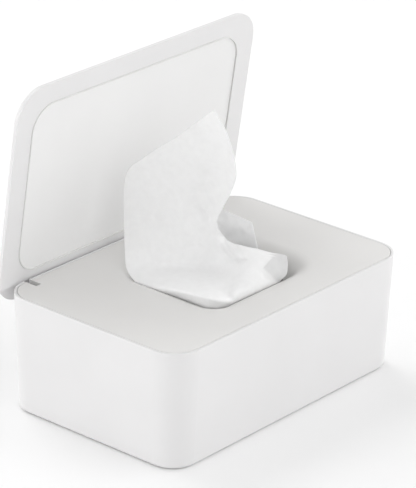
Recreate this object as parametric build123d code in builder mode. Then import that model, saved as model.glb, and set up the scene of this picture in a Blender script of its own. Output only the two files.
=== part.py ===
"""Countertop wipes box: base, lift-off top cover with a rolled mouth, flip-up lid, and the wipes in it.

Millimetres. +Z is up, +X runs along the long side, -Y is the front and +Y the hinge side.
The origin is the centre of the foot ring, on the surface that the box stands on.
The lid is drawn closed and then turned open about the hinge axis.
"""
import os
from math import atan, cos, degrees, hypot, radians, sin, sqrt, tan

from build123d import *

# ---- overall sizes ----
box_length = 190.0  # along X, at the rim
box_width = 124.0  # along Y, at the rim
box_height = 67.5  # from the standing surface to the rim
corner_radius = 17.0  # of the upright corners, at the rim
draft_inset = 2.5  # how far each wall leans in by the bottom

# ---- base shell ----
floor_thickness = 2.0
rim_thickness = 1.5
wall_thickness = 2.9  # below the ledge
ledge_depth = 12.0  # from the rim down to the ledge that carries the cover
bottom_edge_radius = 2.0
rim_edge_radius = 0.4

# ---- foot ring ----
foot_standoff = 0.4  # how far the ring stands proud of the underside
foot_groove_depth = 1.2
foot_width = 3.0
foot_setback = 8.0  # from the underside's outline to the ring
foot_fit = 0.1  # gap between ring and groove on each side

# ---- top cover ----
cover_gap = 0.25  # seam between the cover and the rim
cover_thickness = 1.8
skirt_thickness = 1.5
cover_edge_radius = 0.35
gasket_thickness = 0.8
gasket_squeeze_gap = 0.02
gasket_setback = 0.35  # of the gasket's outer side from the rim wall

# ---- mouth: its borders run from the box's rim to where the edge starts to roll down ----
mouth_left_border = 53.3
mouth_right_border = 41.5
mouth_front_border = 19.6
mouth_back_border = 18.4
mouth_corner_radius = 24.0
mouth_tight_radius = 17.0  # of the corner at the left of the front
mouth_roll_radius = 12.0
mouth_flange_drop = 1.2  # of the flange, below its bend

# ---- lid ----
lid_end_inset = 0.5  # of each end, from the box's rim
lid_front_overhang = 2.8  # past the box's rim, where a finger lifts it
lid_corner_radius = 17.7
lid_thickness = 2.6
lid_edge_radius = 0.9
lid_gap = 0.6  # between the closed lid and the rim
lid_open_angle = 82.1  # as the lid stands in the photograph
lid_crown_height = 1.9  # how far the lid's outside swells in the middle
lid_crown_run = 9.0
lid_crown_setback = 2.4
lid_crown_blend_radius = 20.0
lid_crown_foot_radius = 6.0

# ---- lid liner, and the seal in the seam round it ----
liner_end_border = 12.2  # from the lid's edge to the seam
liner_front_border = 11.2
liner_back_border = 15.8
liner_corner_radius = 15.0
liner_thickness = 1.2
liner_recess = 0.3  # of the liner's inner face, from the lid border's inner face
seal_width = 0.7
seal_proud = 0.5
seal_fit = 0.03  # gap on each side of the seal

# ---- hinge ----
hinge_end_distance = 19.4  # from the box's end to the middle of each arm
hinge_inset = 5.6  # from the box's back face to the axis
hinge_depth = 7.2  # from the rim down to the axis
pin_radius = 1.25
pin_running_clearance = 0.05
arm_thickness = 3.1
arm_side_clearance = 0.4
arm_half_width = 2.2
hub_radius = 2.9
lug_thickness = 2.2
lug_radius = 3.0
slot_front_reach = 3.8  # of the slot, forward of the axis
notch_floor_clearance = 0.25  # under the arm when the lid is swung right back
notch_side_clearance = 0.3
lid_max_angle = 106.0  # from closed, where the arms come down to the notches
relief_clearance = 0.2  # of the rebate in the lid that the box's back rim passes through

# ---- wipes ----
stack_end_margin = 16.0  # from the rim's outline to the pack
stack_side_margin = 10.0
stack_height = 38.0
stack_corner_radius = 9.0
stack_edge_radius = 4.0
wipe_lift = 0.3  # gap between the stack and the wipes pulled from it
wipe_facing = 49.9  # the wipes stand across the mouth, turned this far from facing -Y towards -X
wipe_forward = 4.0  # of the pulled wipe, from the mouth's middle
pulled_thickness = 4.0  # the slab that stands for the crumpled wipe
next_thickness = 3.0
next_setback = 8.0  # of the next wipe, behind the pulled one
wipe_mouth_clearance = 2.8  # from the wipe's edge to the mouth's front side
pulled_outline = [  # across, in shares of the room that the mouth leaves, and up from the rim
    (1.0, -12.0), (1.05, -6.0), (1.18, -1.0), (1.18, 6.5), (0.74, 11.5), (0.36, 13.0), (0.08, 23.0),
    (0.28, 44.0), (0.35, 57.0), (-0.03, 91.5), (-0.67, 74.0), (-1.21, 61.0), (-1.38, 52.0), (-1.38, 2.0),
    (-1.36, -1.0), (-1.26, -4.0), (-1.14, -12.0),
]
next_outline = [(0.68, -6.0), (0.74, 8.0), (0.62, 20.0), (0.08, 25.0), (-0.28, 8.0), (-0.34, -6.0)]
wipe_root = 0.74  # the half width, in the same shares, where both wipes leave the stack
lap_overhang = 2.0  # past the hole's side, of the part of the pulled wipe that laps over its near half
lap_depth = 4.0  # from the rim down to the lap's underside
lap_thickness = 3.0

# ---- worked out ----
underside_z = foot_standoff
draft_angle = degrees(atan(draft_inset / (box_height - underside_z)))
ledge_z = box_height - ledge_depth
floor_z = underside_z + floor_thickness
recess_length = box_length - 2 * rim_thickness
recess_width = box_width - 2 * rim_thickness
recess_radius = corner_radius - rim_thickness
cover_length = recess_length - 2 * cover_gap
cover_width = recess_width - 2 * cover_gap
cover_radius = recess_radius - cover_gap
cover_under_z = box_height - cover_thickness
skirt_bottom_z = ledge_z + gasket_thickness + gasket_squeeze_gap
hinge_x = box_length / 2 - hinge_end_distance
hinge_y = box_width / 2 - hinge_inset
hinge_z = box_height - hinge_depth
hinge_axis = Axis((0, hinge_y, hinge_z), (-1, 0, 0))
lid_length = box_length - 2 * lid_end_inset
lid_width = box_width + lid_front_overhang
lid_center_y = -lid_front_overhang / 2
lid_under_z = box_height + lid_gap
liner_length = lid_length - 2 * liner_end_border
liner_width = lid_width - liner_front_border - liner_back_border
liner_offset_y = lid_center_y + (liner_front_border - liner_back_border) / 2
seal_room = seal_width + 2 * seal_fit
relief_swing = hypot(hinge_inset, hinge_depth)  # of the box's back rim, about the hinge
relief_depth = relief_swing + relief_clearance - (hinge_depth + lid_gap)
relief_front_reach = sqrt(relief_swing**2 - (hinge_depth + lid_gap) ** 2) + relief_clearance
mouth_length = box_length - mouth_left_border - mouth_right_border
mouth_width = box_width - mouth_front_border - mouth_back_border
mouth_offset_x = (mouth_left_border - mouth_right_border) / 2
mouth_offset_y = (mouth_front_border - mouth_back_border) / 2
mouth_flange_depth = mouth_roll_radius + mouth_flange_drop
sides = {"left": -1, "right": 1}


def inset_at(z):
    """How far the drafted outer wall has leaned in at height z."""
    return (box_height - z) * tan(radians(draft_angle))


# ---- base shell ----
with BuildPart() as base_shell:
    with BuildSketch(Plane.XY.offset(box_height)):
        RectangleRounded(box_length, box_width, corner_radius)
    extrude(amount=-(box_height - underside_z), taper=draft_angle)
    underside = base_shell.faces().sort_by(Axis.Z)[0]
    fillet(underside.edges(), bottom_edge_radius)
    with BuildSketch(Plane.XY.offset(box_height)):
        RectangleRounded(recess_length, recess_width, recess_radius)
    extrude(amount=-ledge_depth, mode=Mode.SUBTRACT)
    with BuildSketch(Plane.XY.offset(ledge_z)):
        lean = 2 * (wall_thickness + inset_at(ledge_z))
        RectangleRounded(box_length - lean, box_width - lean, corner_radius - lean / 2)
    extrude(amount=-(ledge_z - floor_z), taper=draft_angle, mode=Mode.SUBTRACT)
    fillet(base_shell.edges().group_by(Axis.Z)[-1], rim_edge_radius)
    # groove for the foot ring
    with BuildSketch(Plane.XY.offset(underside_z)):
        bottom_inset = 2 * (inset_at(underside_z) + foot_setback)
        RectangleRounded(box_length - bottom_inset, box_width - bottom_inset, corner_radius - foot_setback)
        inner_inset = bottom_inset + 2 * foot_width
        RectangleRounded(
            box_length - inner_inset, box_width - inner_inset,
            corner_radius - foot_setback - foot_width, mode=Mode.SUBTRACT,
        )
    extrude(amount=foot_groove_depth, mode=Mode.SUBTRACT)
    # notches in the back wall that the lid's arms swing down into
    notch_width = arm_thickness + 2 * (arm_side_clearance + notch_side_clearance)
    arm_dip = radians(lid_max_angle - 90)
    arm_drop = hinge_inset * tan(arm_dip) + arm_half_width / cos(arm_dip)
    notch_z = hinge_z - arm_drop - notch_floor_clearance
    with Locations([(s * hinge_x, box_width / 2, notch_z) for s in sides.values()]):
        Box(
            notch_width, 2 * (rim_thickness + inset_at(ledge_z)), 2 * ledge_depth,
            align=(Align.CENTER, Align.CENTER, Align.MIN), mode=Mode.SUBTRACT,
        )

# ---- foot ring ----
with BuildPart() as foot_ring:
    with BuildSketch():
        outer_inset = bottom_inset + 2 * foot_fit
        RectangleRounded(
            box_length - outer_inset, box_width - outer_inset, corner_radius - foot_setback - foot_fit
        )
        ring_inset = inner_inset - 2 * foot_fit
        RectangleRounded(
            box_length - ring_inset, box_width - ring_inset,
            corner_radius - foot_setback - foot_width + foot_fit, mode=Mode.SUBTRACT,
        )
    extrude(amount=foot_standoff + foot_groove_depth)

# ---- top cover ----
hole_length = mouth_length - 2 * mouth_roll_radius
hole_width = mouth_width - 2 * mouth_roll_radius
flange_bottom_z = box_height - mouth_flange_depth


def mouth_outline(growth):
    """The hole's outline, grown outwards: its corner at the left of the front is tighter than the others."""
    length, width = hole_length + 2 * growth, hole_width + 2 * growth
    with Locations((mouth_offset_x, mouth_offset_y)):
        RectangleRounded(length, width, mouth_corner_radius - mouth_roll_radius + growth)
    with Locations((mouth_offset_x - length / 4, mouth_offset_y - width / 4)):
        RectangleRounded(length / 2, width / 2, mouth_tight_radius - mouth_roll_radius + growth)


with BuildPart() as top_cover:
    with BuildSketch(Plane.XY.offset(cover_under_z)):
        RectangleRounded(cover_length, cover_width, cover_radius)
    extrude(amount=cover_thickness)
    fillet(top_cover.faces().sort_by(Axis.Z)[-1].edges(), cover_edge_radius)
    # flange that hangs down round the hole, as thick as the plate all the way round its bend
    with BuildSketch(Plane.XY.offset(flange_bottom_z)):
        mouth_outline(cover_thickness)
    extrude(amount=mouth_flange_depth - cover_thickness)
    plate_underside = top_cover.faces().filter_by(Axis.Z).sort_by(Axis.Z)[-2]
    fillet(plate_underside.inner_wires()[0].edges(), mouth_roll_radius - cover_thickness)
    with BuildSketch(Plane.XY.offset(flange_bottom_z)):
        mouth_outline(0)
    extrude(amount=mouth_flange_depth, mode=Mode.SUBTRACT)
    plate_top = top_cover.faces().sort_by(Axis.Z)[-1]
    fillet(plate_top.inner_wires()[0].edges(), mouth_roll_radius)
    # skirt that drops inside the rim
    with BuildSketch(Plane.XY.offset(skirt_bottom_z)):
        RectangleRounded(cover_length, cover_width, cover_radius)
        RectangleRounded(
            cover_length - 2 * skirt_thickness, cover_width - 2 * skirt_thickness,
            cover_radius - skirt_thickness, mode=Mode.SUBTRACT,
        )
    extrude(amount=cover_under_z - skirt_bottom_z)
    # pairs of lugs that carry the hinge pins
    lug_gap = arm_thickness + 2 * arm_side_clearance
    lug_centres = [s * hinge_x + e * (lug_gap + lug_thickness) / 2 for s in sides.values() for e in (-1, 1)]
    for x in lug_centres:
        with BuildSketch(Plane.YZ.offset(x)):
            with Locations((hinge_y, hinge_z)):
                Circle(lug_radius)
                Rectangle(2 * lug_radius, cover_under_z - hinge_z, align=(Align.CENTER, Align.MIN))
        extrude(amount=lug_thickness / 2, both=True)
    with Locations(Plane.YZ):
        with Locations((hinge_y, hinge_z)):
            Hole(pin_radius + pin_running_clearance)
    # slots that the lid's arms come up through
    slot_front_y = hinge_y - slot_front_reach
    with Locations([(s * hinge_x, slot_front_y, skirt_bottom_z) for s in sides.values()]):
        Box(
            lug_gap, box_width / 2 - slot_front_y, 2 * ledge_depth,
            align=(Align.CENTER, Align.MIN, Align.MIN), mode=Mode.SUBTRACT,
        )

# ---- gasket between the cover's skirt and the ledge ----
with BuildPart() as cover_gasket:
    with BuildSketch(Plane.XY.offset(ledge_z + gasket_squeeze_gap / 2)):
        outline = 2 * gasket_setback
        RectangleRounded(recess_length - outline, recess_width - outline, recess_radius - gasket_setback)
        outline = outline + 2 * (skirt_thickness - cover_gap / 2)
        RectangleRounded(
            recess_length - outline, recess_width - outline, recess_radius - outline / 2, mode=Mode.SUBTRACT
        )
    extrude(amount=gasket_thickness)

# ---- lid, drawn closed ----
liner_z = lid_under_z + liner_recess
pocket_top_z = liner_z + liner_thickness
lid_top_z = lid_under_z + lid_thickness
lid_crown_z = lid_top_z + lid_crown_height


def on_lid_crown(point):
    """Whether a point of the lid's border lies on the foot of the swelling, not on the lid's own outline."""
    reach = (lid_crown_setback + lid_edge_radius) / 2
    return abs(point.X) < lid_length / 2 - reach and abs(point.Y - lid_center_y) < lid_width / 2 - reach


with BuildPart() as lid_shell:
    with BuildSketch(Plane.XY.offset(lid_under_z)):
        with Locations((0, lid_center_y)):
            RectangleRounded(lid_length, lid_width, lid_corner_radius)
    extrude(amount=lid_thickness)
    fillet(lid_shell.faces().sort_by(Axis.Z)[-1].edges(), lid_edge_radius)
    # the swelling of the lid's outside
    for level, inset in ((lid_top_z, lid_crown_setback), (lid_crown_z, lid_crown_setback + lid_crown_run)):
        with BuildSketch(Plane.XY.offset(level)):
            with Locations((0, lid_center_y)):
                RectangleRounded(lid_length - 2 * inset, lid_width - 2 * inset, lid_corner_radius - inset)
    loft(ruled=True)
    fillet(lid_shell.edges().group_by(Axis.Z)[-1], lid_crown_blend_radius)
    lid_border = lid_shell.faces().filter_by(Axis.Z).group_by(Axis.Z)[-2]
    fillet(lid_border.edges().filter_by(lambda e: on_lid_crown(e.center())), lid_crown_foot_radius)
    # pocket for the liner and the seal
    with BuildSketch(Plane.XY.offset(lid_under_z)):
        with Locations((0, liner_offset_y)):
            RectangleRounded(liner_length, liner_width, liner_corner_radius)
    extrude(amount=liner_recess + liner_thickness, mode=Mode.SUBTRACT)
    # rebate that clears the back rim of the box as the lid swings, and runs out at the lid's back edge
    with BuildSketch(Plane.YZ):
        with Locations((hinge_y - relief_front_reach, lid_under_z)):
            Rectangle(2 * relief_front_reach + hinge_inset, 2 * relief_depth, align=(Align.MIN, Align.CENTER))
    extrude(amount=lid_length, both=True, mode=Mode.SUBTRACT)
    # hinge arms
    for s in sides.values():
        with BuildSketch(Plane.YZ.offset(s * hinge_x)):
            with Locations((hinge_y, hinge_z)):
                Circle(hub_radius)
                Rectangle(
                    2 * arm_half_width, lid_under_z + relief_depth - hinge_z, align=(Align.CENTER, Align.MIN)
                )
        extrude(amount=arm_thickness / 2, both=True)
    with Locations(Plane.YZ):
        with Locations((hinge_y, hinge_z)):
            Hole(pin_radius)

with BuildPart() as lid_liner:
    with BuildSketch(Plane.XY.offset(liner_z)):
        with Locations((0, liner_offset_y)):
            RectangleRounded(
                liner_length - 2 * seal_room, liner_width - 2 * seal_room, liner_corner_radius - seal_room
            )
    extrude(amount=liner_thickness)

with BuildPart() as lid_seal:
    with BuildSketch(Plane.XY.offset(pocket_top_z)):
        with Locations((0, liner_offset_y)):
            RectangleRounded(
                liner_length - 2 * seal_fit, liner_width - 2 * seal_fit, liner_corner_radius - seal_fit
            )
            seal_inner = seal_fit + seal_width
            RectangleRounded(
                liner_length - 2 * seal_inner, liner_width - 2 * seal_inner,
                liner_corner_radius - seal_inner, mode=Mode.SUBTRACT,
            )
    extrude(amount=-(liner_thickness + liner_recess + seal_proud))
    fillet(lid_seal.faces().sort_by(Axis.Z)[0].edges(), seal_width / 5)

pins = {}
for side, s in sides.items():
    with BuildPart() as pin:
        with BuildSketch(Plane.YZ.offset(s * hinge_x)):
            with Locations((hinge_y, hinge_z)):
                Circle(pin_radius)
        extrude(amount=lug_gap / 2 + lug_thickness, both=True)
        chamfer(pin.edges(), pin_radius / 5)
    pins[side] = pin.part

# ---- wipes ----
with BuildPart() as wipes_stack:
    with BuildSketch(Plane.XY.offset(floor_z)):
        RectangleRounded(
            box_length - 2 * stack_end_margin, box_width - 2 * stack_side_margin, stack_corner_radius
        )
    extrude(amount=stack_height)
    fillet(wipes_stack.faces().sort_by(Axis.Z)[-1].edges(), stack_edge_radius)

wipe_root_z = floor_z + stack_height + wipe_lift
wipe_angle = radians(wipe_facing)
wipe_half_width = (hole_width / 2 - wipe_forward * cos(wipe_angle) - wipe_mouth_clearance) / sin(wipe_angle)
wipe_face = Plane(
    origin=(mouth_offset_x, mouth_offset_y, box_height),
    x_dir=Vector(1, 0, 0).rotate(Axis.Z, -wipe_facing),
    z_dir=Vector(0, -1, 0).rotate(Axis.Z, -wipe_facing),
).offset(wipe_forward)
wipes = {}
for name, outline, thickness, setback in (
    ("pulled_wipe", pulled_outline, pulled_thickness, 0),
    ("next_wipe", next_outline, next_thickness, next_setback),
):
    with BuildPart() as wipe:
        with BuildSketch(wipe_face.offset(-setback)):
            root_drop = wipe_root_z - box_height
            points = [(-wipe_root, root_drop), (wipe_root, root_drop), *outline]
            with BuildLine():
                Polyline(*[(across * wipe_half_width, up) for across, up in points], close=True)
            make_face()
        extrude(amount=thickness / 2, both=True)
        if name == "pulled_wipe":  # the lap over the near half of the mouth
            with BuildSketch(Plane.XY.offset(box_height - lap_depth)):
                mouth_outline(lap_overhang)
                with Locations(Location((wipe_face.origin.X, wipe_face.origin.Y), -wipe_facing)):
                    Rectangle(box_length, box_length, align=(Align.CENTER, Align.MAX), mode=Mode.INTERSECT)
            extrude(amount=lap_thickness)
    wipes[name] = wipe.part

# ---- the lid turned open, and everything written out ----
lid_parts = {"lid_shell": lid_shell.part, "lid_liner": lid_liner.part, "lid_seal": lid_seal.part}
lid_parts.update({f"hinge_pin_{side}": pin for side, pin in pins.items()})
lid_parts = {name: shape.rotate(hinge_axis, lid_open_angle) for name, shape in lid_parts.items()}

os.makedirs("parts", exist_ok=True)
pieces = {
    "base_shell": base_shell.part,
    "foot_ring": foot_ring.part,
    "top_cover": top_cover.part,
    "cover_gasket": cover_gasket.part,
    "wipes_stack": wipes_stack.part,
    **wipes,
    **lid_parts,
}
for name, shape in pieces.items():
    shape.label = name
    export_step(shape, f"parts/{name}.step")
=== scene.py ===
"""Looks of the countertop wipes box: camera, light and materials, and its wipes as thin crumpled sheets.

Lengths are written in millimetres and turned into metres where a vertex is made.
+Z is up, and -Y is the front. A (start, width) pair is a stretch over which something comes in.
"""
from math import cos, exp, hypot, pi, radians, sin, sqrt, tan

import bpy
from mathutils import Matrix, Vector, noise


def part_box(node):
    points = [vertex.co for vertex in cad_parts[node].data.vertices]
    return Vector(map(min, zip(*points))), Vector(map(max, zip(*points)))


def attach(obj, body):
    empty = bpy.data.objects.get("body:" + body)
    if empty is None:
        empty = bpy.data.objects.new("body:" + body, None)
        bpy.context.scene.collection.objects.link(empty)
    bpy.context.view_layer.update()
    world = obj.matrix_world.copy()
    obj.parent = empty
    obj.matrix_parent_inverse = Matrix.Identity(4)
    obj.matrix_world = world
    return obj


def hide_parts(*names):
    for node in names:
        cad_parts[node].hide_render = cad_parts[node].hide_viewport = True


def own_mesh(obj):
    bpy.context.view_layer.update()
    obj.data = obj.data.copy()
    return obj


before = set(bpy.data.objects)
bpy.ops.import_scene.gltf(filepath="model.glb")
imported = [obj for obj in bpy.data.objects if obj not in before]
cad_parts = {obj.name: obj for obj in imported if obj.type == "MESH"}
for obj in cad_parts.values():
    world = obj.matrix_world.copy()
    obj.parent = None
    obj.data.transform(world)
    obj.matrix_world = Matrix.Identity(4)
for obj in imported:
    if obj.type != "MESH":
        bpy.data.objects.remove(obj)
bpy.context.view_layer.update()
MM = 0.001

# ---- camera, fitted to the straight edges of the box ----
VIEW_TURN = radians(-49.917)
VIEW_DOWN = radians(23.44)
VIEW_ROLL = radians(1.255)
CAMERA_PLACE = Vector((-1182.81, -995.705, 753.268))
FOCAL_PX = 3149.96
IMAGE_HEIGHT_PX = 488
SENSOR = 36.0
NEAREST_M, FURTHEST_M = 0.05, 30
ACROSS = Vector((cos(VIEW_TURN), sin(VIEW_TURN), 0))  # level, to the right in the camera's view
TOWARDS = Vector((sin(VIEW_TURN), -cos(VIEW_TURN), 0))  # level, towards the camera

# ---- the mouth, seen from where the pulled wipe stands ----
WIPE_PLACE = Vector((2.0, -1.0, 0.0))
LEFT_ROOM = 31.7  # from there to the hole's left side
FRONT_ROOM = 29.4  # and to its front side
RIM = 67.5  # height of the rim
ROLL = 12.0  # radius of the mouth's rolled edge
ROLL_CLEARANCE = 0.55  # of the wipe from the rolled edge
CORNER_BLENDING = 14.0  # how gently the wipe rounds the mouth's near corner

# ---- outline of the pulled wipe ----
# Its points are (up, across) on the upright plane that faces the camera and goes through the wipe's place.
LEFT_EDGE = [
    (59.0, -40.8), (63.4, -43.9), (68.0, -45.6), (78.0, -46.4), (95.4, -46.9), (110.4, -47.2),
    (116.8, -46.9), (122.2, -45.7), (126.6, -43.3), (129.9, -38.8), (136.0, -31.0), (143.1, -20.3),
    (151.5, -10.1), (159.4, -0.2),
]
RIGHT_EDGE = [
    (59.0, 37.3), (63.0, 40.5), (68.3, 41.0), (73.2, 40.7), (75.8, 39.2), (76.9, 32.6), (79.1, 25.0),
    (80.7, 18.0), (83.1, 10.5), (86.0, 7.2), (89.7, 4.7), (93.7, 2.9), (97.2, 2.9), (102.5, 5.2),
    (112.4, 9.6), (119.3, 11.9), (124.1, 12.3), (131.1, 11.4), (138.5, 9.5), (147.9, 6.3),
    (154.2, 2.9), (159.4, -0.2),
]
WIPE_LOW, WIPE_TIP = LEFT_EDGE[0][0], LEFT_EDGE[-1][0]
WIPE_COLUMNS = 120
WIPE_ROWS = 170  # from the lip up to the tip
WIPE_THICKNESS = 0.35
LIP_HEIGHT = 64.9  # of the fold that rolls over just inside the mouth's near side
LIP_FADE = 36.0  # height over which the rows turn from the lip's slant to level
LIP_GRIP = 8.0  # height above the lip over which folds come in

# ---- the pulled wipe below the mouth ----
STACK_TOP = 40.4  # height of the pack's top
UNDER_ROWS = 24  # from the pack up to the lip
UNDER_START = 0.6  # above the pack
UNDER_RISE = 0.8  # power below 1: it rises faster at first
UNDER_OUT = 0.8  # share of the way by which it has come right out to the lip
UNDER_WIDTH = 0.6  # its width at the pack, as a share of the lip's
UNDER_LENGTH = 60.0  # of cloth between the pack and the lip, for its crumpling
UNDER_RUFFLE = (0.8, 11.0, 1.7)  # height, scale and seed

# ---- the skirt, which lies over the near half of the mouth, and its right part, the wing ----
SKIRT_BEND = [(-34.0, 57.9), (-25.0, 56.2), (-11.0, 53.5), (2.5, 50.4), (12.0, 49.4)]  # (across, up)
LEAST_FALL = 1.0  # from the bend down to the lip
FOLD_LEVEL = 68.0  # where the standing sheet turns into the skirt
BULGE_AT_END, BULGE = -1.0, 1.5  # past the lip, at the left end and elsewhere
BULGE_GROWS = (-34.0, 20.0)  # across
BEND_ROUNDING = 3.0
FOLD_ROUNDING = 8.0
SKIRT_SEAM = 10.5  # where the skirt meets the wing, across
SEAM_LOW_WIDTH, SEAM_HIGH_WIDTH = 5.0, 30.0
SEAM_WIDENS = (52.0, 8.0)  # up
WING_TOP = 96.0  # where the wing has turned into the standing sheet
WING_RISE = 0.9  # power of its rise

# ---- shape of the standing sheet ----
TURN_STEEPNESS = 0.42  # of the left part, which turns back
TURN_FROM = -10.0  # across
TURN_ROUNDING = 10.0
TURN_UP = (66.0, 30.0)
LEAN_STEEPNESS = 0.3  # of the top, which leans towards the camera
LEAN_FROM = 112.0  # up
LEAN_ACROSS = (-24.0, 26.0)
CURL_STRENGTH = 0.04  # of the right edge, which curls towards the camera
CURL_FROM = -6.0  # across
CURL_UP = (92.0, 12.0)

# ---- folds of the pulled wipe, along lines of (across, up) points ----
TOP_FOLD = [(5.0, 112.3), (-9.3, 110.2), (-23.6, 105.8), (-30.4, 98.7), (-33.0, 88.8)]
NECK_CREST = [(3.0, 97.0), (4.0, 86.2), (7.3, 79.3), (14.0, 71.0)]
NECK_VALLEY = [(6.0, 92.0), (8.0, 84.5), (12.0, 78.0), (18.0, 72.0)]
DARK_FOLD = [(1.5, 111.0), (-2.8, 102.3), (-1.0, 93.4)]
CORNER_FOLD = [(13.2, 61.0), (12.7, 55.9), (12.9, 46.0)]
WING_FOLD = [(36.3, 60.6), (28.0, 69.2), (33.0, 76.0)]
FOLDS = [  # line, height, and width on its left and right as it is walked
    (TOP_FOLD, -3.4, 9.0, 14.0),
    (NECK_CREST, 3.0, 9.0, 2.2),
    (NECK_VALLEY, -3.5, 2.2, 4.0),
    (DARK_FOLD, -1.6, 2.5, 2.5),
    (CORNER_FOLD, 1.2, 6.0, 1.6),
    (WING_FOLD, 0.8, 1.6, 6.0),
]
FOLD_END = 0.2  # share of a fold's length over which each end fades
RUFFLES = [(0.55, 17.0, 3.1), (0.16, 5.0, 8.7)]  # height, scale and seed

# ---- how much light the pulled wipe lets through, point by point ----
SEE_THROUGH = "see_through"
STANDING_SHARES = [(58.0, 0.04), (72.0, 0.12), (100.0, 0.18), (125.0, 0.2), (150.0, 0.24)]  # (up, share)
WING_SHARE = 0.12  # where the wing lies doubled
WING_ACROSS = (6.0, 12.0)
WING_ENDS = (78.0, 10.0)  # up
EDGE_SHARE = 0.2  # in the right edge
EDGE_ACROSS = (-14.0, 24.0)
EDGE_UP = (84.0, 14.0)

# ---- painted shade on the pulled wipe, point by point: its colour is made darker at the wing's corner and the hem ----
PAINTED_SHADE = "painted_shade"
CORNER_BORDER = (-0.5, 1.0)  # past the wing's fold
CORNER_ACROSS = (26.0, 2.0)
HEM_SHADE = 0.8  # painted shade below the bend of the skirt
HEM_ACROSS = (-30.0, 12.0)
HEM_FADE = 1.5

# ---- the next wipe: edges as (up, across) and crease as (across, up), on the same plane ----
NEXT_LEFT = [(41.0, -14.0), (72.0, -12.0), (90.0, -2.0), (98.6, 2.0)]
NEXT_RIGHT = [(41.0, 20.0), (70.0, 25.5), (79.1, 25.0), (90.7, 21.5), (98.6, 2.0)]
NEXT_START = 0.8  # above the pack
NEXT_TOP = 98.4
NEXT_ROWS, NEXT_COLUMNS = 80, 50
NEXT_SETBACK = 8.5  # behind the plane
NEXT_CREASE = [(12.0, 66.0), (17.0, 80.1), (21.5, 90.7)]
NEXT_TURN_STEEPNESS = 0.8  # of the corner right of the crease, which is turned over
NEXT_TURN_UP = (66.0, 8.0)
NEXT_LEAN_STEEPNESS = 0.22  # backwards
NEXT_LEAN_FROM = 74.0  # up
NEXT_RUFFLE = (0.7, 8.0, 21.0)

# ---- the pack of folded wipes ----
STACK_LAYERS = 20
LAYER_GAP = 0.12
LENGTH_MARGIN, WIDTH_MARGIN = 1.5, 3.0  # for the layers' bulging sides
LAYER_TURN = 0.004  # most that a layer lies askew, in radians
LAYER_SEED_STEP = 5.3
TURN_SEED = 1.7
LONG_STEPS, SHORT_STEPS, SIDE_STEPS = 64, 44, 6  # faces along a layer, across it and up its side
CORNER_FROM = 0.9  # a corner is drawn in where x times y, each up to 1, is past this
CORNER_SQUEEZE = 0.03  # how far it is drawn in, as a share
WOBBLE = 0.35  # of the sides
WOBBLE_WAVES = 3
END_BULGE = 0.6  # of a layer's short ends, as a share of its long sides' bulge


# ---- small tools ----
def smooth(t):
    """0 below 0, 1 above 1, and a smooth rise between."""
    t = min(1.0, max(0.0, t))
    return t * t * (3 - 2 * t)


def rise(x, stretch):
    """0 before a (start, width) stretch, 1 beyond it, and a smooth rise over it."""
    start, width = stretch
    return smooth((x - start) / width)


def blend(a, b, t):
    return a + (b - a) * t


def soft_min(a, b, blending):
    """The smaller of two values, rounded where they are close to each other."""
    near = max(blending - abs(a - b), 0) / blending
    return min(a, b) - near * near * blending / 4


def on_line(points, x):
    """The value at x of the straight lines through (x, value) points with rising x."""
    if x >= points[-1][0]:
        return points[-1][1]
    i = next(k for k in range(1, len(points)) if x <= points[k][0])
    (x0, y0), (x1, y1) = points[i - 1], points[i]
    return blend(y0, y1, max(0.0, (x - x0) / (x1 - x0)))


def on_curve(points, x):
    """The value at x of a smooth curve through (x, value) points with rising x."""
    if x <= points[0][0]:
        return points[0][1]
    if x >= points[-1][0]:
        return points[-1][1]
    i = next(k for k in range(1, len(points)) if x <= points[k][0])

    def slope(k):
        low, high = max(0, k - 1), min(len(points) - 1, k + 1)
        return (points[high][1] - points[low][1]) / (points[high][0] - points[low][0])

    (x0, y0), (x1, y1) = points[i - 1], points[i]
    h, t = x1 - x0, (x - x0) / (x1 - x0)
    return (
        y0 * (2 * t ** 3 - 3 * t ** 2 + 1) + y1 * (3 * t ** 2 - 2 * t ** 3)
        + h * slope(i - 1) * (t ** 3 - 2 * t ** 2 + t) + h * slope(i) * (t ** 3 - t ** 2)
    )


def beside(line, u, z):
    """Distance from a line, positive on its right as it is walked, and how far along it, from 0 to 1."""
    best = (1e9, 1.0, 0.0)
    lengths = [hypot(b[0] - a[0], b[1] - a[1]) for a, b in zip(line, line[1:])]
    walked = 0.0
    for (a, b), length in zip(zip(line, line[1:]), lengths):
        dx, dz = (b[0] - a[0]) / length, (b[1] - a[1]) / length
        along = min(length, max(0.0, (u - a[0]) * dx + (z - a[1]) * dz))
        away = hypot(u - a[0] - dx * along, z - a[1] - dz * along)
        if away < best[0]:
            side = 1.0 if (u - a[0]) * dz - (z - a[1]) * dx > 0 else -1.0
            best = (away, side, (walked + along) / sum(lengths))
        walked += length
    return best[0] * best[1], best[2]


def fold(u, z, line, height, left_width, right_width):
    """Height of a rounded fold along a line: steeper on its narrower side, faded at its ends."""
    away, along = beside(line, u, z)
    width = right_width if away > 0 else left_width
    ends = smooth(along / FOLD_END), smooth((1 - along) / FOLD_END)
    return height * exp(-((away / width) ** 2)) * ends[0] * ends[1]


def ruffle(u, z, height, scale, seed):
    """Sharp little ridges like those of creased cloth, about 0 on average, with finer ones on them."""
    place = Vector((u / scale, z / scale, seed))
    finer, finer_share = 2.3, 0.5
    ridges = 0.5 - abs(noise.noise(place)) * 2
    return height * (ridges + finer_share * noise.noise(place * finer))


def mesh_object(name, points, faces):
    """A smooth-shaded mesh object from points in millimetres and faces."""
    mesh = bpy.data.meshes.new(name)
    mesh.from_pydata([p * MM for p in points], [], faces)
    mesh.validate()
    for polygon in mesh.polygons:
        polygon.use_smooth = True
    obj = bpy.data.objects.new(name, mesh)
    bpy.context.scene.collection.objects.link(obj)
    return obj


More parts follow.
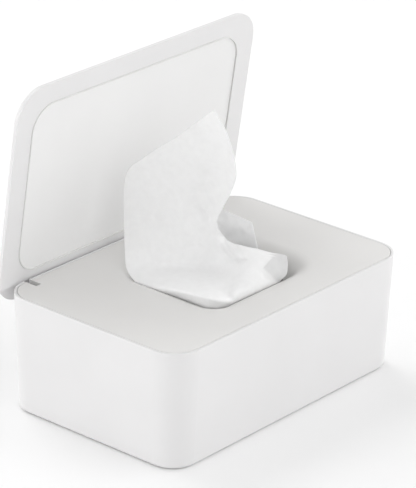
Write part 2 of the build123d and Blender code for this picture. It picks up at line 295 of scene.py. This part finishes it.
def sheet_object(name, points, rows, columns):
    """A mesh object from rows of points, with the thickness of a wipe."""
    faces = [
        (r * columns + c, r * columns + c + 1, (r + 1) * columns + c + 1, (r + 1) * columns + c)
        for r in range(rows - 1) for c in range(columns - 1)
    ]
    obj = mesh_object(name, points, faces)
    solidify = obj.modifiers.new("thickness", "SOLIDIFY")
    solidify.thickness = WIPE_THICKNESS * MM
    solidify.offset = 0
    return obj


def on_plane(across, up):
    """The point at (across, up) on the upright plane that faces the camera."""
    return WIPE_PLACE + ACROSS * across + Vector((0, 0, up))


# ---- the pulled wipe ----
def side_reach(across, height):
    """How far towards the camera the rolled near sides of the mouth let the wipe come at a height."""
    left_over = max(0.0, ROLL - max(0.0, RIM - height))
    opening = ROLL - sqrt(ROLL * ROLL - left_over * left_over) - ROLL_CLEARANCE
    left = (LEFT_ROOM + opening + across * ACROSS.x) / -TOWARDS.x
    front = (FRONT_ROOM + opening + across * ACROSS.y) / -TOWARDS.y
    return soft_min(left, front, CORNER_BLENDING)


def lip_up(across):
    """The height on the plane at which the camera sees the lip."""
    return LIP_HEIGHT - tan(VIEW_DOWN) * side_reach(across, LIP_HEIGHT)


def skirt_reach(across, up):
    """How far forward the skirt lies.

    Its left part comes out level over the mouth and turns down, and its right part, the wing, rises.
    """
    low, out = lip_up(across), side_reach(across, LIP_HEIGHT)
    rising = out * (1 - smooth((up - low) / (WING_TOP - low)) ** WING_RISE)
    bend = max(low + LEAST_FALL, on_curve(SKIRT_BEND, across))
    bulge = out + blend(BULGE_AT_END, BULGE, rise(across, BULGE_GROWS))
    face = blend(out, bulge, (up - low) / (bend - low))
    shelf = bulge * (FOLD_LEVEL - up) / (FOLD_LEVEL - bend)
    level = -soft_min(-soft_min(face, shelf, BEND_ROUNDING), 0.0, FOLD_ROUNDING)
    seam_width = blend(SEAM_LOW_WIDTH, SEAM_HIGH_WIDTH, rise(up, SEAM_WIDENS))
    return blend(level, rising, smooth((across - SKIRT_SEAM) / seam_width + 0.5))


def standing_reach(across, up):
    """Where it stands, its left part turns back, its top leans over and its right edge curls forward."""
    left = max(0.0, TURN_FROM - across)
    turned = -TURN_STEEPNESS * left * left / (left + TURN_ROUNDING) * rise(up, TURN_UP)
    leans = LEAN_STEEPNESS * max(0.0, up - LEAN_FROM) * rise(across, LEAN_ACROSS)
    curls = CURL_STRENGTH * max(0.0, across - CURL_FROM) ** 2 * rise(up, CURL_UP)
    return turned + leans + curls


def creases(across, up):
    """The folds and the fine crumpling."""
    folded = sum(fold(across, up, *one) for one in FOLDS)
    return folded + sum(ruffle(across, up, *one) for one in RUFFLES)


def see_through_at(across, up):
    """Less light comes through where the cloth lies in several layers: skirt, wing and right edge."""
    wing = rise(across, WING_ACROSS) * (1 - rise(up, WING_ENDS))
    right_edge = rise(across, EDGE_ACROSS) * rise(up, EDGE_UP)
    share = blend(on_curve(STANDING_SHARES, up), WING_SHARE, wing)
    return blend(share, EDGE_SHARE, right_edge)


def painted_shade_at(across, up):
    """Painted shade on the wing's corner and on the hem in the mouth, from 0 to 1."""
    corner = rise(beside(WING_FOLD, across, up)[0], CORNER_BORDER) * rise(across, CORNER_ACROSS)
    hem = smooth((on_curve(SKIRT_BEND, across) - up) / HEM_FADE) * rise(across, HEM_ACROSS)
    return max(corner, HEM_SHADE * hem * (1 - rise(across, (SKIRT_SEAM, HEM_FADE))))


def seen_point(across, up, forward):
    """The point that the camera sees at (across, up) on the plane, moved along its line of sight."""
    flat = on_plane(across, up)
    sight = CAMERA_PLACE - flat
    return flat + sight * (forward / sight.dot(TOWARDS))


def under_point(lip_across, t):
    """A point below the mouth, behind its rolled sides: t is 0 at the pack and 1 at the lip."""
    height = blend(STACK_TOP + UNDER_START, LIP_HEIGHT, t ** UNDER_RISE)
    out = smooth(t / UNDER_OUT)
    across = lip_across * blend(UNDER_WIDTH, 1.0, out)
    place = WIPE_PLACE + ACROSS * across + TOWARDS * (side_reach(across, height) * out)
    place.z = height
    return place + TOWARDS * (ruffle(lip_across, UNDER_LENGTH * t, *UNDER_RUFFLE) * sin(pi * t))


def pulled_wipe():
    """The wipe that stands up out of the mouth, from the pack inside to its tip."""
    columns = [c / (WIPE_COLUMNS - 1) for c in range(WIPE_COLUMNS)]
    lip = [blend(LEFT_EDGE[0][1], RIGHT_EDGE[0][1], column) for column in columns]
    points = [under_point(lip_across, r / UNDER_ROWS) for r in range(UNDER_ROWS) for lip_across in lip]
    shares = [STANDING_SHARES[0][1]] * len(points)
    painted_shade = [0.0] * len(points)
    for r in range(WIPE_ROWS):
        level = blend(WIPE_LOW, WIPE_TIP, r / (WIPE_ROWS - 1))
        left, right = on_curve(LEFT_EDGE, level), on_curve(RIGHT_EDGE, level)
        slant = 1 - smooth((level - WIPE_LOW) / LIP_FADE)
        for column, lip_across in zip(columns, lip):
            across = blend(left, right, column)
            up = level + (lip_up(lip_across) - WIPE_LOW) * slant
            loose = smooth((up - lip_up(lip_across)) / LIP_GRIP)
            shape = (standing_reach(across, up) + creases(across, up)) * loose
            points.append(seen_point(across, up, skirt_reach(across, up) + shape))
            shares.append(see_through_at(across, up))
            # painted shade, point by point, which darkens the cloth's colour
            painted_shade.append(painted_shade_at(across, up))
    obj = sheet_object("pulled_wipe_sheet", points, UNDER_ROWS + WIPE_ROWS, WIPE_COLUMNS)
    for attribute, values in ((SEE_THROUGH, shares), (PAINTED_SHADE, painted_shade)):
        obj.data.attributes.new(attribute, "FLOAT", "POINT").data.foreach_set("value", values)
    return obj


# ---- the next wipe ----
def next_wipe():
    """The start of the next wipe, which stands behind the pulled one with its corner turned over."""
    points = []
    for r in range(NEXT_ROWS):
        level = blend(STACK_TOP + NEXT_START, NEXT_TOP, r / (NEXT_ROWS - 1))
        left, right = on_curve(NEXT_LEFT, level), on_line(NEXT_RIGHT, level)
        for c in range(NEXT_COLUMNS):
            across = blend(left, right, c / (NEXT_COLUMNS - 1))
            past_crease = max(0.0, beside(NEXT_CREASE, across, level)[0])
            turned = NEXT_TURN_STEEPNESS * past_crease * rise(level, NEXT_TURN_UP)
            leans = NEXT_LEAN_STEEPNESS * max(0.0, level - NEXT_LEAN_FROM)
            reach = -NEXT_SETBACK + turned - leans + ruffle(across, level, *NEXT_RUFFLE)
            points.append(on_plane(across, level) + TOWARDS * reach)
    return sheet_object("next_wipe_sheet", points, NEXT_ROWS, NEXT_COLUMNS)


# ---- the pack of folded wipes ----
def layer_ring():
    """The points round a layer, from -1 to 1 along it and across it."""
    half = [(blend(-1, 1, k / LONG_STEPS), -1.0) for k in range(LONG_STEPS)]
    half += [(1.0, blend(-1, 1, k / SHORT_STEPS)) for k in range(SHORT_STEPS)]
    return half + [(-x, -y) for x, y in half]


def layer_points(ring, low, high, length, width, turn, seed):
    """One folded wipe: a thin slab with wobbly sides, rounded where the cloth turns back."""
    half_height = (high - low) / 2
    points = []
    for level in range(SIDE_STEPS + 1):
        lift = -cos(pi * level / SIDE_STEPS)
        bulge = sin(pi * level / SIDE_STEPS)
        for x, y in ring:
            squeeze = 1 - CORNER_SQUEEZE * max(0.0, abs(x * y) - CORNER_FROM) / (1 - CORNER_FROM)
            wobble = WOBBLE * noise.noise(Vector((x * WOBBLE_WAVES, y * WOBBLE_WAVES, seed)))
            px = (length / 2 + wobble + bulge * half_height * END_BULGE) * x * squeeze
            py = (width / 2 + wobble + bulge * half_height) * y * squeeze
            pz = low + half_height + lift * half_height
            points.append(Vector((px * cos(turn) - py * sin(turn), px * sin(turn) + py * cos(turn), pz)))
    return points


def layer_faces(count, start):
    """The sides, underside and top of a layer, with count points round it, numbered from start."""
    faces = []
    for level in range(SIDE_STEPS):
        lower, upper = start + level * count, start + (level + 1) * count
        for k in range(count):
            n = (k + 1) % count
            faces.append((lower + k, lower + n, upper + n, upper + k))
    faces.append(tuple(start + k for k in reversed(range(count))))
    faces.append(tuple(start + SIDE_STEPS * count + k for k in range(count)))
    return faces


def wipes_stack():
    """The pack of folded wipes, as separate rounded layers that don't lie quite true."""
    low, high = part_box("wipes_stack")
    length, width = (high.x - low.x) / MM - LENGTH_MARGIN, (high.y - low.y) / MM - WIDTH_MARGIN
    bottom, top = low.z / MM, high.z / MM
    pitch = (top - bottom) / STACK_LAYERS
    ring = layer_ring()
    points, faces = [], []
    for k in range(STACK_LAYERS):
        seed = LAYER_SEED_STEP * k
        turn = LAYER_TURN * noise.noise(Vector((seed, TURN_SEED, 0)))
        layer_low, layer_high = bottom + k * pitch, bottom + (k + 1) * pitch - LAYER_GAP
        faces += layer_faces(len(ring), len(points))
        points += layer_points(ring, layer_low, layer_high, length, width, turn, seed)
    return mesh_object("folded_wipes", points, faces)


# ---- tools for materials ----
NOISE_MIDDLE = (0.3, 0.7)  # between these lies most of a noise


def new_material(name):
    material = bpy.data.materials.new(name)
    material.use_nodes = True
    nodes, links = material.node_tree.nodes, material.node_tree.links
    return material, nodes, links, nodes["Principled BSDF"]


def noise_value(nodes, links, per_metre, detail, roughness=0.5):
    """Noise that follows the object's own coordinates."""
    place = nodes.new("ShaderNodeTexCoord")
    texture = nodes.new("ShaderNodeTexNoise")
    texture.inputs["Scale"].default_value = per_metre
    texture.inputs["Detail"].default_value = detail
    texture.inputs["Roughness"].default_value = roughness
    links.new(place.outputs["Object"], texture.inputs["Vector"])
    return texture.outputs["Fac"]


def point_value(nodes, attribute):
    """The value that the mesh's own points hold, or 0 if they hold none."""
    node = nodes.new("ShaderNodeAttribute")
    node.attribute_name = attribute
    return node.outputs["Fac"]


def between(nodes, links, value, low, high):
    """A value of 0 to 1 spread over low to high."""
    spread = nodes.new("ShaderNodeMapRange")
    spread.inputs["To Min"].default_value = low
    spread.inputs["To Max"].default_value = high
    links.new(value, spread.inputs["Value"])
    return spread.outputs["Result"]


def tint(nodes, links, value, colours):
    """A colour from the first to the second of two over the middle of a noise's range."""
    ramp = nodes.new("ShaderNodeValToRGB")
    for element, position, colour in zip(ramp.color_ramp.elements, NOISE_MIDDLE, colours):
        element.position = position
        element.color = (*colour, 1)
    links.new(value, ramp.inputs["Fac"])
    return ramp.outputs["Color"]


def coat(nodes, links, value, shader, colours, roughness):
    """Colour and roughness that go with a noise from the first of each pair to the second."""
    links.new(tint(nodes, links, value, colours), shader.inputs["Base Color"])
    links.new(between(nodes, links, value, *roughness), shader.inputs["Roughness"])


def bump(nodes, links, value, shader, strength, depth):
    node = nodes.new("ShaderNodeBump")
    node.inputs["Strength"].default_value = strength
    node.inputs["Distance"].default_value = depth * MM
    links.new(value, node.inputs["Height"])
    links.new(node.outputs["Normal"], shader.inputs["Normal"])


def background_share(nodes, links):
    """1 for rays that show the background, and 0 for those that light the object.

    The first are the camera's own, reflected ones, and those that pass through something clear.
    """
    path = nodes.new("ShaderNodeLightPath")
    clear = nodes.new("ShaderNodeMath")
    clear.operation = "SUBTRACT"
    links.new(path.outputs["Is Transmission Ray"], clear.inputs[0])
    links.new(path.outputs["Is Diffuse Ray"], clear.inputs[1])
    share = path.outputs["Is Camera Ray"]
    for rays in (path.outputs["Is Glossy Ray"], clear.outputs["Value"]):
        larger = nodes.new("ShaderNodeMath")
        larger.operation = "MAXIMUM"
        links.new(share, larger.inputs[0])
        links.new(rays, larger.inputs[1])
        share = larger.outputs["Value"]
    return share


# ---- materials ----
WHITE = (1, 1, 1, 1)
SHELL_COLOURS = (0.725, 0.72, 0.722), (0.745, 0.74, 0.742)  # dark and light
PLATE_COLOURS = (0.72, 0.712, 0.7), (0.74, 0.732, 0.72)
# the liner is coloured lighter than the shell: painted light, making up for light that the lid's inner
# face lacks
PANEL_COLOURS_WITH_PAINTED_LIGHT = (0.78, 0.778, 0.775), (0.8, 0.798, 0.795)
RUBBER_COLOURS = (0.7, 0.7, 0.69), (0.73, 0.73, 0.72)
STEEL_COLOURS = (0.5, 0.5, 0.51), (0.62, 0.62, 0.63)
CLOTH_COLOURS = (0.92, 0.92, 0.92), (0.96, 0.96, 0.96)
SHELL_ROUGHNESS = (0.36, 0.45)  # from and to
PLATE_ROUGHNESS = (0.38, 0.47)
PANEL_ROUGHNESS = (0.32, 0.41)
RUBBER_ROUGHNESS = (0.62, 0.74)
STEEL_ROUGHNESS = (0.22, 0.36)
CLOTH_ROUGHNESS = (0.72, 0.9)
SHADED_LIGHTNESS = 0.8  # of cloth under full painted shade, as a share of the unshaded cloth's
NEXT_SHARE = 0.25  # of the light, which the next wipe lets through
STACK_SHARE = 0.08
FLOOR_COLOUR = (0.9, 0.9, 0.9, 1)
FLOOR_GLOW = 0.04  # lifts the lit floor to white where it is seen


def moulded_plastic(name, colours, roughness):
    """Satin moulded plastic: fine spark-eroded grain, faint clouding, roughness that drifts a little."""
    material, nodes, links, shader = new_material(name)
    clouds = noise_value(nodes, links, per_metre=22, detail=3)
    grain = noise_value(nodes, links, per_metre=2600, detail=4, roughness=0.65)
    coat(nodes, links, clouds, shader, colours, roughness)
    bump(nodes, links, grain, shader, strength=0.12, depth=0.03)
    shader.inputs["IOR"].default_value = 1.49
    return material


def soft_rubber(name):
    """Matt rubber with a fine even grain."""
    material, nodes, links, shader = new_material(name)
    clouds = noise_value(nodes, links, per_metre=60, detail=3)
    grain = noise_value(nodes, links, per_metre=1800, detail=3)
    coat(nodes, links, clouds, shader, RUBBER_COLOURS, RUBBER_ROUGHNESS)
    bump(nodes, links, grain, shader, strength=0.2, depth=0.04)
    return material


def ground_steel(name):
    """Bright steel, ground to a fine even grain."""
    material, nodes, links, shader = new_material(name)
    marks = noise_value(nodes, links, per_metre=900, detail=2)
    coat(nodes, links, marks, shader, STEEL_COLOURS, STEEL_ROUGHNESS)
    bump(nodes, links, marks, shader, strength=0.15, depth=0.01)
    shader.inputs["Metallic"].default_value = 1.0
    return material


def with_painted_shade(nodes, links, unshaded):
    """The colour of cloth, darkened where its points hold painted shade."""
    darkened = nodes.new("ShaderNodeVectorMath")
    darkened.operation = "SCALE"
    links.new(unshaded, darkened.inputs[0])
    lightness = between(nodes, links, point_value(nodes, PAINTED_SHADE), 1.0, SHADED_LIGHTNESS)
    links.new(lightness, darkened.inputs["Scale"])
    return darkened.outputs["Vector"]


def nonwoven(name, see_through=None):
    """Damp nonwoven fabric: a tangle of fine fibres in thin and dense patches.

    It lets a share of the light through, and without a share the points of the cloth say how much. Its
    colour is darker where the points hold painted shade.
    """
    material, nodes, links, shader = new_material(name)
    patches = noise_value(nodes, links, per_metre=260, detail=5, roughness=0.6)
    fibres = noise_value(nodes, links, per_metre=1500, detail=6, roughness=0.7)
    # the cloth's colour, darkened where its points hold painted shade
    colour = with_painted_shade(nodes, links, tint(nodes, links, patches, CLOTH_COLOURS))
    links.new(colour, shader.inputs["Base Color"])
    links.new(between(nodes, links, patches, *CLOTH_ROUGHNESS), shader.inputs["Roughness"])
    bump(nodes, links, fibres, shader, strength=0.22, depth=0.12)
    through = nodes.new("ShaderNodeBsdfTranslucent")
    links.new(colour, through.inputs["Color"])
    mix = nodes.new("ShaderNodeMixShader")
    if see_through is None:
        links.new(point_value(nodes, SEE_THROUGH), mix.inputs["Fac"])
    else:
        mix.inputs["Fac"].default_value = see_through
    links.new(shader.outputs["BSDF"], mix.inputs[1])
    links.new(through.outputs["BSDF"], mix.inputs[2])
    links.new(mix.outputs["Shader"], nodes["Material Output"].inputs["Surface"])
    return material


def pale_floor():
    """White floor that takes the object's shadow."""
    material, nodes, links, shader = new_material("pale_floor")
    shader.inputs["Base Color"].default_value = FLOOR_COLOUR
    shader.inputs["Roughness"].default_value = 0.9
    shader.inputs["Specular IOR Level"].default_value = 0.0
    shader.inputs["Emission Color"].default_value = WHITE
    glow = between(nodes, links, background_share(nodes, links), 0.0, FLOOR_GLOW)
    links.new(glow, shader.inputs["Emission Strength"])
    return material


def paint(obj, material):
    obj.data.materials.clear()
    obj.data.materials.append(material)


def dress_nodes():
    """Gives every piece kept from the model its own finish."""
    shell = moulded_plastic("shell_plastic", SHELL_COLOURS, SHELL_ROUGHNESS)
    plate = moulded_plastic("cover_plastic", PLATE_COLOURS, PLATE_ROUGHNESS)
    # the liner's lighter colour is painted light
    panel = moulded_plastic("panel_plastic_with_painted_light", PANEL_COLOURS_WITH_PAINTED_LIGHT, PANEL_ROUGHNESS)
    rubber = soft_rubber("seal_rubber")
    steel = ground_steel("pin_steel")
    finishes = {
        "base_shell": shell, "lid_shell": shell, "top_cover": plate, "lid_liner": panel,
        "lid_seal": rubber, "cover_gasket": rubber, "foot_ring": rubber,
        "hinge_pin_left": steel, "hinge_pin_right": steel,
    }
    for node, material in finishes.items():
        paint(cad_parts[node], material)


# ---- stage ----
WORLD_GLOW = 0.49  # of the white room on the object; the camera sees it as white
FLOOR_HALF = 4000
LAMPS = [  # name, where it shines from, strength, and its width in degrees
    ("left_back_light", (-0.72, 0.68, 0.15), 0.8, 30),
    ("left_light", (-0.97, 0.1, 0.2), 0.8, 40),
    ("front_light", (0.35, -0.9, 0.25), 1.45, 110),
    ("right_front_light", (0.7, -0.7, 0.2), 0.8, 70),
    ("right_back_light", (0.98, 0.1, 0.1), 0.6, 40),
    ("back_top_light", (0.1, 0.75, 0.66), 1.2, 50),
]


def lay_floor():
    corners = ((-1, -1), (1, -1), (1, 1), (-1, 1))
    floor = mesh_object("floor", [Vector((x, y, 0)) * FLOOR_HALF for x, y in corners], [(0, 1, 2, 3)])
    paint(floor, pale_floor())


def hang_lamps():
    for name, shines_from, strength, width in LAMPS:
        data = bpy.data.lights.new(name, "SUN")
        data.energy = strength
        data.angle = radians(width)
        lamp = bpy.data.objects.new(name, data)
        lamp.rotation_euler = Vector(shines_from).to_track_quat("Z", "Y").to_euler()
        bpy.context.scene.collection.objects.link(lamp)


def light_room():
    """A white room, seen at full strength, that lights the object more weakly."""
    world = bpy.data.worlds.new("studio")
    bpy.context.scene.world = world
    world.use_nodes = True
    nodes, links = world.node_tree.nodes, world.node_tree.links
    strength = between(nodes, links, background_share(nodes, links), WORLD_GLOW, 1.0)
    links.new(strength, nodes["Background"].inputs["Strength"])
    nodes["Background"].inputs["Color"].default_value = WHITE


def place_camera():
    data = bpy.data.cameras.new("camera")
    data.sensor_width = SENSOR
    data.lens = FOCAL_PX * SENSOR / IMAGE_HEIGHT_PX
    data.clip_start, data.clip_end = NEAREST_M, FURTHEST_M
    level_share = cos(VIEW_DOWN)
    back = Vector((sin(VIEW_TURN) * level_share, -cos(VIEW_TURN) * level_share, sin(VIEW_DOWN)))
    above = back.cross(ACROSS)
    right = ACROSS * cos(VIEW_ROLL) + above * sin(VIEW_ROLL)
    up = above * cos(VIEW_ROLL) - ACROSS * sin(VIEW_ROLL)
    camera = bpy.data.objects.new("camera", data)
    turned = Matrix((right, up, back)).transposed().to_4x4()
    camera.matrix_world = Matrix.Translation(CAMERA_PLACE * MM) @ turned
    bpy.context.scene.collection.objects.link(camera)
    bpy.context.scene.camera = camera


# ---- put together ----
place_camera()
lay_floor()
hang_lamps()
light_room()
dress_nodes()
bpy.context.scene.view_settings.view_transform = "Standard"

sheets = {"pulled_wipe": pulled_wipe(), "next_wipe": next_wipe()}
paint(sheets["pulled_wipe"], nonwoven("pulled_nonwoven"))
paint(sheets["next_wipe"], nonwoven("next_nonwoven", NEXT_SHARE))
for node, sheet in sheets.items():
    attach(sheet, "wipe")
    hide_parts(node)

stack = wipes_stack()
paint(stack, nonwoven("stacked_nonwoven", STACK_SHARE))
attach(stack, "base")
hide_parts("wipes_stack")

for sheet in sheets.values():
    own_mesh(sheet)
